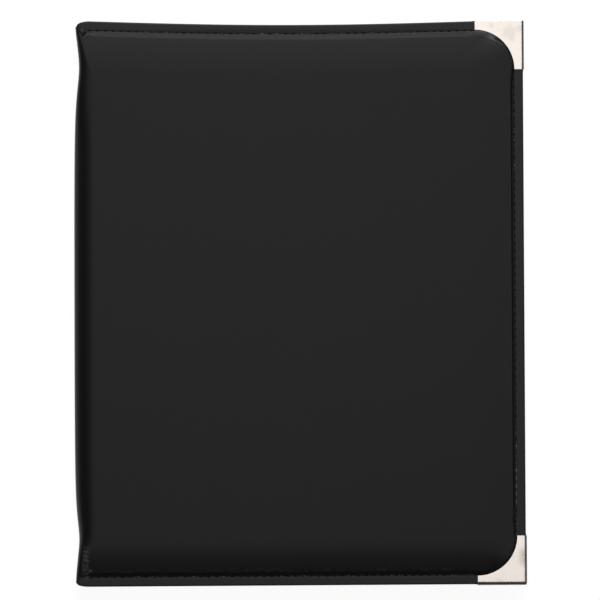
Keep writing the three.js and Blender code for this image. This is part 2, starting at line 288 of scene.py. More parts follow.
def foam_sheet(name, material):
    """A closed mesh whose top follows the underside of the leatherette and whose foot lies on the board."""
    column_x = FOLDER_WIDTH - stops(*FOAM_COLUMNS)[::-1]
    row_y = both_ends(stops(*FOAM_ROWS))
    rows, columns = len(row_y), len(column_x)
    x0, y0 = np.meshgrid(column_x, row_y)
    a = FOLDER_WIDTH - x0
    b = HALF - np.abs(y0)
    across, up = concentric(a, b, CORNER_LEG, SQUARE_BORDER)
    x = FOLDER_WIDTH - across
    y = np.sign(y0) * (HALF - up)
    y = y - sag(x, y)
    glued = np.full(x.shape, THICKNESS - PAD_HEIGHT - CLOTH)
    top = glued + pad_height(a, b, y0) - FOAM_GAP
    points = np.concatenate([np.stack([x, y, z], -1).reshape(-1, 3) for z in (top, glued)])
    index = np.arange(rows * columns).reshape(rows, columns)
    ring = np.concatenate([index[0, :], index[1:, -1], index[-1, -2::-1], index[-2:0:-1, 0]])
    after = np.roll(ring, -1)
    below = rows * columns
    faces = np.concatenate([grid_faces(rows, columns, False), grid_faces(rows, columns, True) + below,
                            np.stack([ring + below, after + below, after, ring], 1)])
    piece = mesh_object(name, points, faces, points[:, :2], material)
    piece.data.set_sharp_from_angle(angle=math.radians(40))
    return piece


foam = Finish("foam")
place = foam.node("ShaderNodeTexCoord", output=3)
cells = foam.node("ShaderNodeTexVoronoi", {"feature": "DISTANCE_TO_EDGE"}, {"Vector": place, "Scale": 1500.0})
walls = foam.step(cells, 0.02, 0.16)
foam_finish = foam.surface(
    Base_Color=foam.mix(walls, (0.16, 0.16, 0.165, 1), (0.075, 0.075, 0.08, 1)),
    Roughness=0.95,
    Normal=foam.bump(walls, 0.00015),
)
foam_pad = foam_sheet("front_foam_sheet", foam_finish)
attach(foam_pad, "front_cover")
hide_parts("front_foam")


# Leatherette
# One sheet of 0.7 mm embossed vinyl on a knitted backing covers the front, the soft spine and the back.
# It is glued over the boards and the foam, folded round their three free edges and turned in. Here it is
# made in two halves that meet along the middle of the spine.

MIDDLE = THICKNESS / 2
SPINE_DEPTH = 11.0
EDGE_FOLD = 0.75
EDGE_STRAIGHT = 1.6
HEM_DEPTH = 3.2
HEM_DEPTH_SPINE = 1.5
HEM_WIDTH = 6.0
CORNER_ARM = 4.9
CORNER_PRESS = 0.55
STITCH_INSET = 5.15
STITCH_GROOVE = 0.13
DRAWN_IN = ((3.0, 18.0, HALF - 25.3), (2.5, 15.0, 25.6 - HALF))  # depth, half width, place along the spine
SPINE_CORNER = 7.0
SPINE_SLACK = 0.87
UPPER_CUT = 2.9  # by which the ends of the spine are rounded
LOWER_CUT = 1.7
CUT_REACH = 12.0
UPPER_TIGHT = 0.5  # the roll is squarer towards its ends
LOWER_TIGHT = 0.55
ROLL_BLEND = 0.9
RUBBED_LIFT = 0.16
RUBBED_RIPPLE = 1.6
ROLL_TURNS = np.concatenate([[0.0, 1.0], np.linspace(3.5, 90.0, 26)])
LEATHER_COLUMNS = ((EDGE_FOLD, 0.55), (3.6, 0.3), (9.5, 0.6), (22.0, 0.9), (26.4, 0.2), (27.0, 2.0), (40.0, 3.4),
                   (190.0, 2.4), (228.0, 1.2), (FOLDER_WIDTH - SPINE_DEPTH, 1))
LEATHER_ROWS = ((EDGE_FOLD, 0.5), (3.6, 0.3), (9.5, 0.6), (22.0, 0.9), (26.4, 0.2), (27.0, 2.0), (45.0, 3.2),
                (HALF, 1))


def ridge(value, centre, width):
    return np.exp(-(((value - centre) / width) ** 2))


def drawn_in(y):
    return sum(depth / (1 + ((y - place) / half_width) ** 2) for depth, half_width, place in DRAWN_IN)


def applied(piece):
    """The piece with its modifiers taken into its mesh."""
    evaluated = piece.evaluated_get(bpy.context.evaluated_depsgraph_get())
    mesh = bpy.data.meshes.new_from_object(evaluated)
    mesh.name = piece.name
    piece.modifiers.clear()
    piece.data = mesh
    return piece


def thicken(piece, thickness):
    solidify = piece.modifiers.new("thickness", "SOLIDIFY")
    solidify.thickness = thickness * MM
    solidify.offset = -1
    solidify.use_even_offset = False
    applied(piece).data.set_sharp_from_angle(angle=math.radians(50))
    return piece


def rim(rows, columns):
    """The three free sides of a grid: along the lower end, up the opening edge, back along the upper end."""
    index = np.arange(rows * columns).reshape(rows, columns)
    return np.concatenate([index[0, :], index[1:, -1], index[-1, -2::-1]])


def turned_edge(points, uv, faces, rows, columns, outward, hem_depth, hem_width):
    """Folds a sheet's three free edges round and turns them in; outward is 1 on the front cover.

    A step of the fold is its distance out and down, its share of the hem's depth, and its length so far.
    """
    path = rim(rows, columns)
    grid = points.reshape(rows, columns, 3)
    along = np.gradient(grid, axis=1)
    up = np.gradient(grid, axis=0)
    normal = np.cross(along, up).reshape(-1, 3)[path] * outward
    normal /= np.linalg.norm(normal, axis=1)[:, None]
    way = np.gradient(points[path], axis=0)
    side = np.cross(way, normal) * outward
    side /= np.linalg.norm(side, axis=1)[:, None]
    flat_way = np.zeros((len(path), 2))
    flat_way[:columns, 1] = -1
    flat_way[columns:columns + rows - 2, 0] = 1
    flat_way[columns + rows - 2:, 1] = 1
    depth = hem_depth[path][:, None]
    steps = []
    for i in range(1, 6):
        angle = math.pi / 2 * i / 5
        steps.append((EDGE_FOLD * math.sin(angle), EDGE_FOLD * (1 - math.cos(angle)), 0, EDGE_FOLD * angle))
    quarter = EDGE_FOLD * math.pi / 2
    steps.append((EDGE_FOLD, 0, 0.5, quarter + EDGE_STRAIGHT / 2))
    for i in range(0, 6):
        angle = math.pi / 2 * i / 5
        out, down = EDGE_FOLD * math.cos(angle), -EDGE_FOLD * (1 - math.sin(angle))
        steps.append((out, down, 1, quarter + EDGE_STRAIGHT + EDGE_FOLD * angle))
    for share in (0.15, 0.4, 1.0):
        steps.append((-hem_width * share, 0, 1, 2 * quarter + EDGE_STRAIGHT + hem_width * share))
    all_points = [points]
    all_uv = [uv]
    all_faces = [faces]
    last = path
    count = len(points)
    for out, down, share, length in steps:
        if share == 0:
            depths = down
        elif share == 0.5:
            depths = depth / 2
        else:
            depths = depth + down
        all_points.append(points[path] + side * out - normal * depths)
        all_uv.append(uv[path] + flat_way * length)
        here = np.arange(count, count + len(path))
        count += len(path)
        quads = (last[:-1], here[:-1], here[1:], last[1:])
        if outward < 0:
            quads = quads[::-1]
        all_faces.append(np.stack(quads, 1))
        last = here
    return np.concatenate(all_points), np.concatenate(all_uv), np.concatenate(all_faces)


def leather_half(name, outward, material):
    """Half of the wrap, from the middle of the spine to the opening edge."""
    turns = np.radians(ROLL_TURNS)
    flat = FOLDER_WIDTH - stops(*LEATHER_COLUMNS)[::-1]
    roll_x = SPINE_DEPTH * (1 - np.cos(turns))
    column_x = np.concatenate([roll_x, flat[1:]])
    column_roll = np.concatenate([MIDDLE * np.sin(turns), np.full(len(flat) - 1, MIDDLE)])
    column_pinch = np.concatenate([np.cos(turns) ** 2, np.zeros(len(flat) - 1)])
    steps = np.hypot(np.diff(column_x), np.diff(column_roll))
    column_s = np.concatenate([[0], np.cumsum(steps)])
    row_y = both_ends(stops(*LEATHER_ROWS))
    rows, columns = len(row_y), len(column_x)
    x0, y0 = np.meshgrid(column_x, row_y)
    tight = 1 - UPPER_TIGHT * smooth(y0, 80, 122) - LOWER_TIGHT * smooth(-y0, 122, 138)
    roll = MIDDLE * (np.tile(column_roll, (rows, 1)) / MIDDLE) ** tight
    a = FOLDER_WIDTH - x0
    b = HALF - np.abs(y0)
    end = np.sign(y0)
    inset = np.minimum(a, b)
    across, up = concentric(a, b, CORNER_LEG, SQUARE_BORDER)
    x = FOLDER_WIDTH - across
    x = x + (drawn_in(y0) - SPINE_SLACK) * np.tile(column_pinch, (rows, 1))
    drop = np.where(end > 0, UPPER_CUT, LOWER_CUT)
    start = drawn_in(end * HALF)
    rounding = clamp((start + SPINE_CORNER - x) / SPINE_CORNER)
    cut = drop * (1 - np.sqrt(1 - rounding ** 2)) * clamp(1 - b / CUT_REACH)
    y = end * (HALF - up - cut)
    y = y - sag(x, y)
    metal = (inset < CORNER_ARM) & (np.maximum(a, b) < CORNER_LEG + 0.1)
    if outward > 0:
        cover = MIDDLE - PAD_HEIGHT + pad_height(a, b, y0)
    else:
        cover = np.full(x.shape, MIDDLE)
    seam = ridge(inset, STITCH_INSET, 0.5) * smooth(x, 7.5, 11.5)
    cover = cover - STITCH_GROOVE * seam - np.where(metal, CORNER_PRESS, 0)
    rubbed = smooth(-y0, 128, 136) * (1 - smooth(-y0, 147, 150)) * ridge(x, 5.8, 1.7) * (outward > 0)
    blend = ROLL_BLEND * clamp((MIDDLE - cover) / PAD_HEIGHT) * (1 - smooth(x0, 11.0, 18.0))
    k = (roll + cover - np.sqrt((roll - cover) ** 2 + blend ** 2)) / 2
    ripples = np.sin(y0 * 2.6 + 0.9 * x) * 0.05 + np.sin(y0 * 1.27 - 1.7 * x) * 0.06
    k = k + rubbed * (RUBBED_LIFT + RUBBED_RIPPLE * ripples)
    z = MIDDLE + outward * k
    points = np.stack([x, y, z], -1).reshape(-1, 3)
    uv = np.stack([np.tile(column_s, (rows, 1)), y], -1).reshape(-1, 2)
    hem = HEM_DEPTH_SPINE + (HEM_DEPTH - HEM_DEPTH_SPINE) * smooth(x0, 7.5, 12.0)
    faces = grid_faces(rows, columns, outward < 0)
    points, uv, faces = turned_edge(points, uv, faces, rows, columns, outward, hem.ravel(), HEM_WIDTH)
    return thicken(mesh_object(name, points, faces, uv, material), CLOTH)


leatherette = Finish("leatherette")
flat_place = leatherette.node("ShaderNodeUVMap", {"uv_map": "flat"})
pebbles = leatherette.node("ShaderNodeTexVoronoi", {"feature": "SMOOTH_F1"},
                           {"Vector": flat_place, "Scale": 130.0, "Smoothness": 0.6})
creases = leatherette.noise(flat_place, 70.0, 4.0, 0.6, 0.6)
grain = pebbles * 0.7 + creases * 0.6
mottle = leatherette.noise(flat_place, 2.2, 3.0)
specks = leatherette.step(leatherette.noise(flat_place, 95.0, 1.0), 0.79, 0.83)
across_flat = leatherette.node("ShaderNodeSeparateXYZ", None, {0: flat_place}, 0)
up_flat = leatherette.node("ShaderNodeSeparateXYZ", None, {0: flat_place}, 1)
from_end = HALF / 100 - leatherette.node("ShaderNodeMath", {"operation": "ABSOLUTE"}, {0: up_flat})
from_edge = leatherette.node("ShaderNodeMath", {"operation": "MINIMUM"}, {0: from_end, 1: 2.509 - across_flat})
# The border, the fold and the hem, within 4.4 mm of the sheet's edges, are given a paler colour.
paler_border = leatherette.step(from_edge, 0.044, 0.050, 1.0, 0.0)
lower_end = leatherette.step(up_flat, -1.52, -1.40, 1.0, 0.12)
puckered = leatherette.step(from_edge, 0.050, 0.060) * leatherette.step(from_edge, 0.075, 0.125, 1.0, 0.0)
puckers = leatherette.noise(leatherette.stretched(flat_place, (34.0, 16.0, 1.0)), 1.0, 3.0, 0.6, 0.8)
relief = grain * 0.09 + (puckers - 0.5) * puckered * lower_end * 2.4
# Painted highlight: a pale, streaky patch on the spine's roll near its lower end stands in for a gloss streak.
beside_spine = leatherette.step(across_flat, 0.055, 0.070)
beside_spine = beside_spine * leatherette.step(across_flat, 0.094, 0.110, 1.0, 0.0)
near_end = leatherette.step(up_flat, -1.53, -1.49) * leatherette.step(up_flat, -1.37, -1.31, 1.0, 0.0)
highlight_streaks = leatherette.noise(leatherette.stretched(flat_place, (30.0, 90.0, 1.0)), 1.0, 3.0, 0.7)
painted_spine_highlight = beside_spine * near_end * leatherette.step(highlight_streaks, 0.36, 0.62)
specked_base = leatherette.mix(specks, leatherette.mix(paler_border, leatherette.mix(
    mottle, (0.0040, 0.0040, 0.0042, 1), (0.0050, 0.0050, 0.0053, 1)), (0.0115, 0.0115, 0.012, 1)),
                       (0.03, 0.03, 0.03, 1))
leatherette_finish = leatherette.surface(
    Base_Color=leatherette.mix(painted_spine_highlight, specked_base, (0.038, 0.038, 0.0385, 1)),
    Roughness=0.33 + 0.08 * creases,
    Specular_IOR_Level=0.22,
    Normal=leatherette.bump(relief, 0.0005, 0.6),
)

FOLD_DIRECTION = Vector((0.835, 0, 0.55))


def bend(piece, outward):
    """Bakes a cloth piece's placement into its mesh."""
    way = Vector((FOLD_DIRECTION.x, 0, FOLD_DIRECTION.z * outward)) * MM
    if outward > 0:
        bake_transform(piece)
    else:
        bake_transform(piece)


front_leather = leather_half("front_leatherette", 1, leatherette_finish)
back_leather = leather_half("back_leatherette", -1, leatherette_finish)
for piece, outward in ((front_leather, 1), (back_leather, -1)):
    bend(piece, outward)
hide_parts("front_skin")
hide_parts("back_skin", "spine_wrap")


# Linings
# Black woven cloth, 0.5 mm thick, is glued over the boards and the turned-in leatherette and runs on
# through the spine, where it lies loosely in the roll. It too is made in two halves.

LINING = 0.5
LINING_INSET = 3.0
LINING_AT_METAL = 2.2
LINING_SPINE_END = 8.0
LINING_DEPTH = 3.8
LINING_IN_ROLL = 1.4
LINING_SQUARE = 2.0
LINING_FLAT_START = 12.0
LINING_TURNS = np.concatenate([[0.0, 1.0], np.linspace(5.0, 68.0, 14)])
LINING_RUNS = ((LINING_INSET, 0.5), (8.0, 1.0), (24.0, 0.4), (30.0, 3.0))


def rounded_path(points, rounds=3):
    """Cuts the corners of a line of points until it runs smoothly."""
    points = np.asarray(points, float)
    for _ in range(rounds):
        first = points[:-1] * 0.75 + points[1:] * 0.25
        second = points[:-1] * 0.25 + points[1:] * 0.75
        points = np.concatenate([points[:1], np.stack([first, second], 1).reshape(-1, 2), points[-1:]])
    return points


def cover_face(outward):
    """Distance of a cover's flat outer face from the middle of the folder."""
    return MIDDLE - PAD_HEIGHT if outward > 0 else MIDDLE


def lining_half(name, outward, material):
    """Half of the lining, from the middle of the spine to the opening edge, seen from the music's side."""
    turns = np.radians(LINING_TURNS)
    wide, high = SPINE_DEPTH - LINING_IN_ROLL, MIDDLE - LINING_IN_ROLL
    hugging = np.stack([SPINE_DEPTH - wide * np.cos(turns), high * np.sin(turns)], 1)
    inner = cover_face(outward) - LINING_DEPTH
    over_board = rounded_path([hugging[-1], (8.75, 5.45), (8.85, 4.2), (8.9, inner + 0.9), (9.15, inner + 0.05),
                               (10.2, inner), (LINING_FLAT_START, inner)])
    flat = FOLDER_WIDTH - stops(*LINING_RUNS, (FOLDER_WIDTH - LINING_FLAT_START, 1))[::-1]
    column_x = np.concatenate([hugging[:, 0], over_board[1:, 0], flat[1:]])
    column_k = np.concatenate([hugging[:, 1], over_board[1:, 1], np.full(len(flat) - 1, inner)])
    column_pinch = np.zeros(len(column_x))
    column_pinch[:len(turns)] = np.cos(turns) ** 2
    tail = len(over_board) - 1
    column_pinch[len(turns):len(turns) + tail] = np.cos(turns[-1]) ** 2 * np.linspace(1, 0, tail)
    column_s = np.concatenate([[0], np.cumsum(np.hypot(np.diff(column_x), np.diff(column_k)))])
    row_y = both_ends(stops(*LINING_RUNS, (HALF, 1)))
    rows, columns = len(row_y), len(column_x)
    x0, y0 = np.meshgrid(column_x, row_y)
    a = FOLDER_WIDTH - x0
    b = HALF - np.abs(y0)
    end = np.sign(y0)
    inset = np.minimum(a, b)
    beside_metal = 1 - smooth(np.maximum(a, b), 27.0, 28.5)
    retreat = LINING_AT_METAL * beside_metal * (1 - smooth(inset, LINING_INSET, 13.0))
    in_spine = (LINING_SPINE_END - LINING_INSET) * (1 - smooth(x0, 8.9, 13.0))
    in_spine = in_spine * (1 - smooth(b, LINING_INSET, 25.0))
    across, up = concentric(a, b, CORNER_LEG, LINING_SQUARE, retreat)
    x = FOLDER_WIDTH - across + drawn_in(y0) * np.tile(column_pinch, (rows, 1))
    y = end * (HALF - up - in_spine)
    y = y - sag(x, y)
    z = MIDDLE + outward * np.tile(column_k, (rows, 1))
    points = np.stack([x, y, z], -1).reshape(-1, 3)
    uv = np.stack([np.tile(column_s, (rows, 1)), y], -1).reshape(-1, 2)
    faces = grid_faces(rows, columns, outward > 0)
    return thicken(mesh_object(name, points, faces, uv, material), LINING)


cloth = Finish("lining_cloth")
flat_place = cloth.node("ShaderNodeUVMap", {"uv_map": "flat"})
wave = {"wave_type": "BANDS", "wave_profile": "SIN"}
warp = cloth.node("ShaderNodeTexWave", {**wave, "bands_direction": "X"},
                  {"Vector": flat_place, "Scale": 60.0, "Distortion": 0.6, "Detail": 1.0, "Detail Scale": 8.0}, 1)
weft = cloth.node("ShaderNodeTexWave", {**wave, "bands_direction": "Y"},
                  {"Vector": flat_place, "Scale": 60.0, "Distortion": 0.6, "Detail": 1.0, "Detail Scale": 8.0}, 1)
slubs = cloth.noise(cloth.stretched(flat_place, (6.0, 60.0, 1.0)), 1.0, 3.0)
weave = warp * weft
lining_finish = cloth.surface(
    Base_Color=cloth.mix(weave * 0.7 + slubs * 0.3, (0.008, 0.008, 0.0085, 1), (0.022, 0.022, 0.023, 1)),
    Roughness=0.85,
    Sheen_Weight=0.1,
    Normal=cloth.bump(warp + weft, 0.00006, 0.6),
)

for cover, outward in (("front", 1), ("back", -1)):
    piece = lining_half(f"{cover}_lining_cloth", outward, lining_finish)
    bend(piece, outward)
    if outward > 0:
        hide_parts("front_lining")
    else:
        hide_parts("back_lining", "spine_lining")


# Pockets
# Inside each cover a panel of the same leatherette is sewn down along its foot and both sides. Its mouth
# is turned under and sewn, and it stands a little off the lining, so sheets slide in.

POCKET_LEFT = 15.7
POCKET_RIGHT = 241.3
POCKET_FOOT = -149.3
POCKET_HEIGHT = 110.0
POCKET_CORNER = 20.5
POCKET_DEPTH = 4.6
POCKET_SEAM = 3.0
POCKET_RISE = 8.0
POCKET_EASE = 0.8
MOUTH_HEM = 9.0
POCKET_WAVE = 0.12
HEM_GROOVE = 0.2


def pocket_panel(name, outward, material):
    width = POCKET_RIGHT - POCKET_LEFT
    from_right = stops((0.0, 0.4), (4.0, 0.8), (POCKET_CORNER, 3.0), (width - 12.0, 0.8), (width - 3.0, 0.4),
                       (width, 1))
    column_x = (POCKET_RIGHT - from_right)[::-1]
    row_b = stops((0.0, 0.4), (4.0, 0.8), (POCKET_CORNER, 3.0), (POCKET_HEIGHT - 12.0, 0.4), (POCKET_HEIGHT, 1))
    rows, columns = len(row_b), len(column_x)
    x0, b = np.meshgrid(column_x, row_b)
    a = POCKET_RIGHT - x0
    inset = np.minimum(np.minimum(a, b), x0 - POCKET_LEFT)
    across, up = concentric(a, b, POCKET_CORNER, 1e-6)
    x = POCKET_RIGHT - across
    y = POCKET_FOOT + up
    ease = POCKET_EASE * smooth(inset, POCKET_SEAM, POCKET_SEAM + POCKET_RISE)
    seam = HEM_GROOVE * ridge(inset, POCKET_SEAM / 2, 0.5)
    mouth = POCKET_HEIGHT - b
    turned = 0.22 * smooth(mouth, MOUTH_HEM + 0.9, MOUTH_HEM) - HEM_GROOVE * ridge(mouth, MOUTH_HEM - 1.5, 0.5)
    turned = turned * smooth(inset, POCKET_SEAM - 0.5, POCKET_SEAM + 2)
    slack = POCKET_WAVE * np.sin(x / 31.0 + 0.7) * np.sin(y / 23.0) * smooth(inset, 5.0, 30.0)
    k = cover_face(outward) - POCKET_DEPTH - ease + seam - np.clip(turned, -HEM_GROOVE, 0.0) + slack
    z = MIDDLE + outward * k
    points = np.stack([x, y, z], -1).reshape(-1, 3)
    uv = np.stack([x, y], -1).reshape(-1, 2)
    faces = grid_faces(rows, columns, outward > 0)
    return thicken(mesh_object(name, points, faces, uv, material), CLOTH)


for cover, outward in (("front", 1), ("back", -1)):
    piece = pocket_panel(f"{cover}_pocket_panel", outward, leatherette_finish)
    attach(piece, f"{cover}_cover")
    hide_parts(f"{cover}_pocket")


# Metal corners
# Each free corner of both covers has a folded cap of 0.45 mm nickel-plated steel. It is pressed over the
# corner, flush with the leatherette, and its inner edge is an arc. The plating is finely pitted. Its bends
# and side walls carry painted shade, fully on the lower caps and mostly beside the opening edge on the
# upper ones, and the lower caps are also made darker in a short band beside the opening edge.

nickel = Finish("nickel")
place = nickel.node("ShaderNodeTexCoord", output=3)
mottling = nickel.noise(place, 620.0, 3.0, 0.55)
clouding = nickel.noise(place, 90.0, 2.0)
pits = nickel.step(nickel.noise(place, 2600.0, 1.0), 0.62, 0.75)
# Painted shade: the bend attribute darkens the caps' bends and side walls.
painted_bend_shade = nickel.node("ShaderNodeAttribute", {"attribute_name": "bend"}, output=2)
stain = nickel.step(clouding, 0.56, 0.70, 0.0, 0.35)
plating = nickel.mix(stain, nickel.mix(mottling, (0.80, 0.735, 0.68, 1), (0.90, 0.82, 0.765, 1)),
                     (0.60, 0.53, 0.46, 1))
place_x = nickel.node("ShaderNodeSeparateXYZ", None, {0: place}, 0)
place_y = nickel.node("ShaderNodeSeparateXYZ", None, {0: place}, 1)
# The lower caps are made darker in a short band beside the opening edge, about 10 to 20 mm above the lower end.
darker_band = nickel.step(place_x, 0.1175, 0.1222) * nickel.step(place_y, -0.1475, -0.1425)
darker_band = darker_band * nickel.step(place_y, -0.1395, -0.1335, 1.0, 0.0) * (0.35 + 0.6 * mottling)
plating = nickel.mix(darker_band, plating, (0.46, 0.40, 0.345, 1))
nickel_finish = nickel.surface(
    Base_Color=nickel.mix(painted_bend_shade, nickel.mix(pits * 0.3, plating, (0.55, 0.49, 0.42, 1)),
                          (0.09, 0.078, 0.068, 1)),
    Metallic=1.0,
    Roughness=0.2 + 0.08 * clouding + 0.05 * mottling,
    Normal=nickel.bump(mottling + pits * 0.3, 0.000006),
)


BEND_ALONG_EDGE = 1.4  # radii of the bends along the opening edge, and along the upper and lower end
BEND_ALONG_END = {1: 0.5, -1: 2.1}
CAP_CORNER = 1.1
CAP_WALL = 0.45
METAL_PROUD = 0.6
BEND_CUTS = (0.05, 0.18, 0.38, 0.65, 1.0, 1.4, 1.75, 2.1)


def bend_drop(inset, radius):
    """How far a rounded bend lies below the flat face, at a distance in from its side."""
    left = max(0.0, radius - inset)
    return radius - math.sqrt(radius ** 2 - left ** 2)


def metal_cap(node, outward, end):
    """A finished copy of a CAD corner, with rounded bends along its two outer edges."""
    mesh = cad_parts[node].data.copy()
    shape = bmesh.new()
    shape.from_mesh(mesh)
    bmesh.ops.remove_doubles(shape, verts=shape.verts, dist=1e-6)
    bmesh.ops.dissolve_limit(shape, angle_limit=math.radians(4), verts=shape.verts, edges=shape.edges)
    face = (THICKNESS - PAD_HEIGHT if outward > 0 else 0.0) * MM
    right = OVERALL_WIDTH / 2 * MM
    side = end * (HALF + METAL_PROUD) * MM
    for cut in BEND_CUTS:
        for place, normal in (((right - cut * MM, 0, 0), (1, 0, 0)), ((0, side - end * cut * MM, 0), (0, 1, 0))):
            everything = shape.verts[:] + shape.edges[:] + shape.faces[:]
            bmesh.ops.bisect_plane(shape, geom=everything, dist=1e-7, plane_co=place, plane_no=normal)
    for vertex in shape.verts:
        if abs(vertex.co.z - face) > (CAP_WALL + 0.05) * MM:
            continue
        from_edge = (right - vertex.co.x) / MM
        from_end = abs(side - vertex.co.y) / MM
        if max(from_edge, from_end) < CAP_CORNER:
            from_edge = from_end = CAP_CORNER - math.hypot(CAP_CORNER - from_edge, CAP_CORNER - from_end)
        drop_along_edge = bend_drop(max(0.0, from_edge), BEND_ALONG_EDGE)
        drop_along_end = bend_drop(max(0.0, from_end), BEND_ALONG_END[end])
        vertex.co.z -= outward * max(drop_along_edge, drop_along_end) * MM
    shape.to_mesh(mesh)
    shape.free()
    mesh.materials.clear()
    mesh.materials.append(nickel_finish)
    mesh.shade_smooth()
    mesh.set_sharp_from_angle(angle=math.radians(28))
    piece = bpy.data.objects.new(node + "_cap", mesh)
    bpy.context.scene.collection.objects.link(piece)
    edge_bevel = piece.modifiers.new("edges", "BEVEL")
    edge_bevel.width = 0.1 * MM
    edge_bevel.segments = 2
    edge_bevel.limit_method = "ANGLE"
    edge_bevel.angle_limit = math.radians(40)
    edge_bevel.harden_normals = True
    applied(piece)
    # The bend attribute is painted shade, from 0.3 mm to 3.3 mm below the cap's face; on the upper caps it is
    # mostly beside the opening edge.
    bend_shade_layer = piece.data.attributes.new("bend", "FLOAT", "POINT")
    depth = np.array([abs(vertex.co.z - face) / MM for vertex in piece.data.vertices])
    across = np.array([(right - vertex.co.x) / MM for vertex in piece.data.vertices])
    painted_light = smooth(depth, 0.03, 0.3) * (1 - smooth(depth, 3.3, 3.75))
    if end > 0:
        painted_light = painted_light * (0.15 + 0.85 * (1 - smooth(across, 0.8, 1.8)))
    bend_shade_layer.data.foreach_set("value", painted_light)
    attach(piece, "front_cover" if outward > 0 else "back_cover")
    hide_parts(node)
    return piece


for cover, outward in (("front", 1), ("back", -1)):
    for where, end in (("top", 1), ("bottom", -1)):
        metal_cap(f"{cover}_corner_{where}", outward, end)


# Stitches
# A lockstitch of thick black polyester thread, about six to the inch, runs round the three free edges of
# each cover between the metal corners, and shows on both faces. A finer row holds each pocket.

PITCH = 4.3
STITCH_LENGTH = 2.6
THREAD = 0.65
BOW = 0.5
SWAY = 0.055
STITCH_SEED = 5
STITCH_START = 8.2
STITCH_END = 1.2  # left free beside a metal corner
STITCH_SINK = 0.1


def stitch_tree(material):
    """Nodes that lay one short bowed thread on every pitch of a path."""
    tree = bpy.data.node_groups.new("stitches", "GeometryNodeTree")
    face = tree.interface
    face.new_socket("Path", in_out="INPUT", socket_type="NodeSocketGeometry")
    for name, value in (("Pitch", PITCH), ("Length", STITCH_LENGTH), ("Thread", THREAD), ("Bow", BOW)):
        face.new_socket(name, in_out="INPUT", socket_type="NodeSocketFloat").default_value = value * MM
    face.new_socket("Up", in_out="INPUT", socket_type="NodeSocketVector").default_value = (0, 0, 1)
    face.new_socket("Seed", in_out="INPUT", socket_type="NodeSocketInt").default_value = STITCH_SEED
    face.new_socket("Stitches", in_out="OUTPUT", socket_type="NodeSocketGeometry")

    def node(kind, settings=None, sockets=None):
        made = tree.nodes.new(kind)
        for name, value in (settings or {}).items():
            setattr(made, name, value)
        for name, value in (sockets or {}).items():
            if isinstance(value, bpy.types.NodeSocket):
                tree.links.new(value, made.inputs[name])
            else:
                made.inputs[name].default_value = value
        return made

    given = node("NodeGroupInput").outputs
    half = node("ShaderNodeMath", {"operation": "MULTIPLY"}, {0: given["Length"], 1: 0.5}).outputs[0]
    back = node("ShaderNodeMath", {"operation": "MULTIPLY"}, {0: given["Length"], 1: -0.5}).outputs[0]
    low = node("ShaderNodeMath", {"operation": "MULTIPLY"}, {0: given["Bow"], 1: -1.0}).outputs[0]
    start = node("ShaderNodeCombineXYZ", None, {0: back, 2: low}).outputs[0]
    top = node("ShaderNodeCombineXYZ", None, {2: given["Bow"]}).outputs[0]
    finish = node("ShaderNodeCombineXYZ", None, {0: half, 2: low}).outputs[0]
    bow = node("GeometryNodeCurveQuadraticBezier", None, {"Resolution": 7, "Start": start, "Middle": top,
                                                          "End": finish}).outputs[0]
    radius = node("ShaderNodeMath", {"operation": "MULTIPLY"}, {0: given["Thread"], 1: 0.5}).outputs[0]
    ring = node("GeometryNodeCurvePrimitiveCircle", None, {"Resolution": 7, "Radius": radius}).outputs[0]
    thread = node("GeometryNodeCurveToMesh", None,
                  {"Curve": bow, "Profile Curve": ring, "Fill Caps": True}).outputs[0]
    curve = node("GeometryNodeMeshToCurve", None, {"Mesh": given["Path"]}).outputs[0]
    spaced = node("GeometryNodeResampleCurve", None, {"Curve": curve})
    if "Mode" in spaced.inputs:
        spaced.inputs["Mode"].default_value = "Length"
    else:
        spaced.mode = "LENGTH"
    tree.links.new(given["Pitch"], spaced.inputs["Length"])
    tangent = node("GeometryNodeInputTangent").outputs[0]
    way = node("FunctionNodeAxesToRotation", {"primary_axis": "Z", "secondary_axis": "X"},
               {0: given["Up"], 1: tangent}).outputs[0]
    sway = node("FunctionNodeRandomValue", {"data_type": "FLOAT"}, {2: -SWAY, 3: SWAY, "Seed": given["Seed"]})
    turn = node("ShaderNodeCombineXYZ", None, {2: sway.outputs[1]}).outputs[0]
    turned = node("FunctionNodeRotateRotation", {"rotation_space": "LOCAL"}, {0: way, 1: turn}).outputs[0]
    laid = node("GeometryNodeInstanceOnPoints", None, {"Points": spaced.outputs[0], "Instance": thread,
                                                       "Rotation": turned}).outputs[0]
    real = node("GeometryNodeRealizeInstances", None, {0: laid}).outputs[0]
    smoothed = node("GeometryNodeSetShadeSmooth", None, {0: real}).outputs[0]
    finished = node("GeometryNodeSetMaterial", None, {0: smoothed, "Material": material}).outputs[0]
    node("NodeGroupOutput", None, {0: finished})
    return tree


def stitch_rows(name, paths, up, tree, body, **sizes):
    """All the stitches of one face of a cover, along several paths of points."""
    points, edges = [], []
    for path in paths:
        edges.extend((len(points) + i, len(points) + i + 1) for i in range(len(path) - 1))
        points.extend(path)
    mesh = bpy.data.meshes.new(name)
    mesh.from_pydata(metres(points).tolist(), edges, [])
    piece = bpy.data.objects.new(name, mesh)
    bpy.context.scene.collection.objects.link(piece)
    nodes = piece.modifiers.new("stitches", "NODES")
    nodes.node_group = tree
    identifiers = {item.name: item.identifier for item in tree.interface.items_tree if item.in_out == "INPUT"}
    nodes[identifiers["Up"]] = (0.0, 0.0, float(up))
    for key, value in sizes.items():
        nodes[identifiers[key]] = value * MM
    applied(piece)
    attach(piece, body)
    return piece


